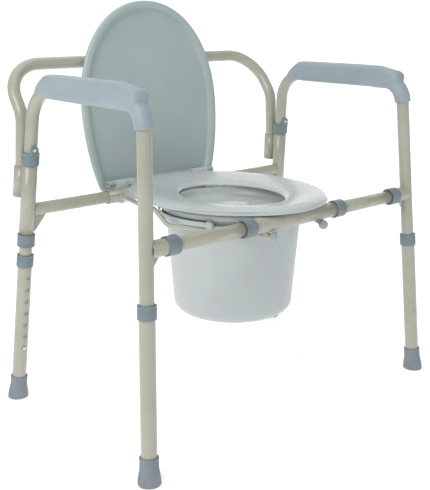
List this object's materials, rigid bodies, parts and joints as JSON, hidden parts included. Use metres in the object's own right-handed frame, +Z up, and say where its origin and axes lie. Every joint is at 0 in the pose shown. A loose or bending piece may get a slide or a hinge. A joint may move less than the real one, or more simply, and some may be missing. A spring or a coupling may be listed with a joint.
{
  "type": "commode chair",
  "caption": "Steel-framed commode chair with armrests, height-adjustable legs, a hinged oval seat and lid, and a lidded pail on rails under the seat.",
  "frame": {"origin": "On the floor, in the middle of the bounding box.", "axes": "+Z is up; the chair faces -Y; +X is to the right of someone who faces the chair."},
  "size_m": [0.7868, 0.538, 0.8101],
  "materials": {
    "paint": "gloss cream enamel",
    "blue_grey": "satin moulded plastic",
    "lid": "lightly textured moulded plastic",
    "seat": "smooth moulded plastic",
    "pail": "translucent polypropylene",
    "rubber": "matt rubber",
    "steel": "bright zinc-plated steel"
  },
  "bodies": {
    "frame": {"side_frame_left": "paint", "armrest_left": "blue_grey", "armrest_screw_rear_left": "steel", "armrest_screw_front_left": "steel", "rear_sleeve_left": "paint", "sleeve_collar_bottom_left": "blue_grey", "sleeve_collar_top_left": "blue_grey", "back_bar_socket_left": "paint", "hinge_bracket_left": "seat", "hinge_pin_left": "steel", "pail_rail_left": "paint", "rail_cap_left": "blue_grey", "rear_end_tube_left": "paint", "front_stub_left": "paint", "stub_collar_left": "blue_grey", "centre_collar_left": "blue_grey", "side_frame_right": "paint", "armrest_right": "blue_grey", "armrest_screw_rear_right": "steel", "armrest_screw_front_right": "steel", "rear_sleeve_right": "paint", "sleeve_collar_bottom_right": "blue_grey", "sleeve_collar_top_right": "blue_grey", "back_bar_socket_right": "paint", "hinge_bracket_right": "seat", "hinge_pin_right": "steel", "pail_rail_right": "paint", "rail_cap_right": "blue_grey", "rear_end_tube_right": "paint", "front_stub_right": "paint", "stub_collar_right": "blue_grey", "centre_collar_right": "blue_grey", "rear_centre_tube": "paint", "front_centre_tube": "paint", "back_bar": "paint"},
    "leg_front_left": {"lower_leg_front_left": "paint", "leg_collar_front_left": "blue_grey", "leg_tip_front_left": "rubber"},
    "leg_rear_left": {"lower_leg_rear_left": "paint", "leg_collar_rear_left": "blue_grey", "leg_tip_rear_left": "rubber"},
    "button_front_left": {"leg_button_front_left": "steel"},
    "button_rear_left": {"leg_button_rear_left": "steel"},
    "sleeve_snap_left": {"sleeve_button_left": "steel"},
    "lock_tube_left": {"front_lock_tube_left": "paint"},
    "leg_front_right": {"lower_leg_front_right": "paint", "leg_collar_front_right": "blue_grey", "leg_tip_front_right": "rubber"},
    "leg_rear_right": {"lower_leg_rear_right": "paint", "leg_collar_rear_right": "blue_grey", "leg_tip_rear_right": "rubber"},
    "button_front_right": {"leg_button_front_right": "steel"},
    "button_rear_right": {"leg_button_rear_right": "steel"},
    "sleeve_snap_right": {"sleeve_button_right": "steel"},
    "lock_tube_right": {"front_lock_tube_right": "paint"},
    "seat": {"seat_ring": "seat"},
    "cover": {"lid": "lid"},
    "bucket": {"pail": "pail"},
    "bucket_lid": {"pail_lid": "seat"},
    "bail": {"pail_handle": "pail"}
  },
  "joints": [
    {"name": "leg_slide_front_left", "type": "slide", "parent": "frame", "child": "leg_front_left", "axis": [-0.0494, -0.0658, -0.9966], "range_m": [0, 0.1524]},
    {"name": "leg_slide_rear_left", "type": "slide", "parent": "frame", "child": "leg_rear_left", "axis": [-0.0493, 0.0964, -0.9941], "range_m": [0, 0.1524]},
    {"name": "leg_button_press_front_left", "type": "slide", "parent": "frame", "child": "button_front_left", "axis": [0.0033, -0.9978, 0.0657], "range_m": [0, 0.0042], "stiffness_N_per_m": 600},
    {"name": "leg_button_press_rear_left", "type": "slide", "parent": "frame", "child": "button_rear_left", "axis": [0.0048, 0.9953, 0.0963], "range_m": [0, 0.0042], "stiffness_N_per_m": 600},
    {"name": "sleeve_button_press_left", "type": "slide", "parent": "frame", "child": "sleeve_snap_left", "axis": [0.0048, 0.9953, 0.0963], "range_m": [0, 0.0058], "stiffness_N_per_m": 600},
    {"name": "lock_tube_slide_left", "type": "slide", "parent": "frame", "child": "lock_tube_left", "axis": [1, 0, 0], "range_m": [0, 0.042]},
    {"name": "leg_slide_front_right", "type": "slide", "parent": "frame", "child": "leg_front_right", "axis": [0.0494, -0.0658, -0.9966], "range_m": [0, 0.1524]},
    {"name": "leg_slide_rear_right", "type": "slide", "parent": "frame", "child": "leg_rear_right", "axis": [0.0493, 0.0964, -0.9941], "range_m": [0, 0.1524]},
    {"name": "leg_button_press_front_right", "type": "slide", "parent": "frame", "child": "button_front_right", "axis": [-0.0033, -0.9978, 0.0657], "range_m": [0, 0.0042], "stiffness_N_per_m": 600},
    {"name": "leg_button_press_rear_right", "type": "slide", "parent": "frame", "child": "button_rear_right", "axis": [-0.0048, 0.9953, 0.0963], "range_m": [0, 0.0042], "stiffness_N_per_m": 600},
    {"name": "sleeve_button_press_right", "type": "slide", "parent": "frame", "child": "sleeve_snap_right", "axis": [-0.0048, 0.9953, 0.0963], "range_m": [0, 0.0058], "stiffness_N_per_m": 600},
    {"name": "lock_tube_slide_right", "type": "slide", "parent": "frame", "child": "lock_tube_right", "axis": [-1, 0, 0], "range_m": [0, 0.042]},
    {"name": "seat_hinge", "type": "hinge", "parent": "frame", "child": "seat", "pos_m": [0, 0.1864, 0.424], "axis": [-1, 0, 0], "range_deg": [0, 93]},
    {"name": "lid_hinge", "type": "hinge", "parent": "frame", "child": "cover", "pos_m": [0, 0.1864, 0.424], "axis": [-1, 0, 0], "range_deg": [-95, 0]},
    {"name": "pail_lift", "type": "slide", "parent": "frame", "child": "bucket", "axis": [0, 0, 1], "range_m": [0, 0.004]},
    {"name": "pail_lid_lift", "type": "slide", "parent": "bucket", "child": "bucket_lid", "axis": [0, 0, 1], "range_m": [0, 0.004]},
    {"name": "pail_handle_swing", "type": "hinge", "parent": "bucket", "child": "bail", "pos_m": [0, -0.0506, 0.39075], "axis": [0.866, 0.5, 0], "range_deg": [0, 7]}
  ]
}
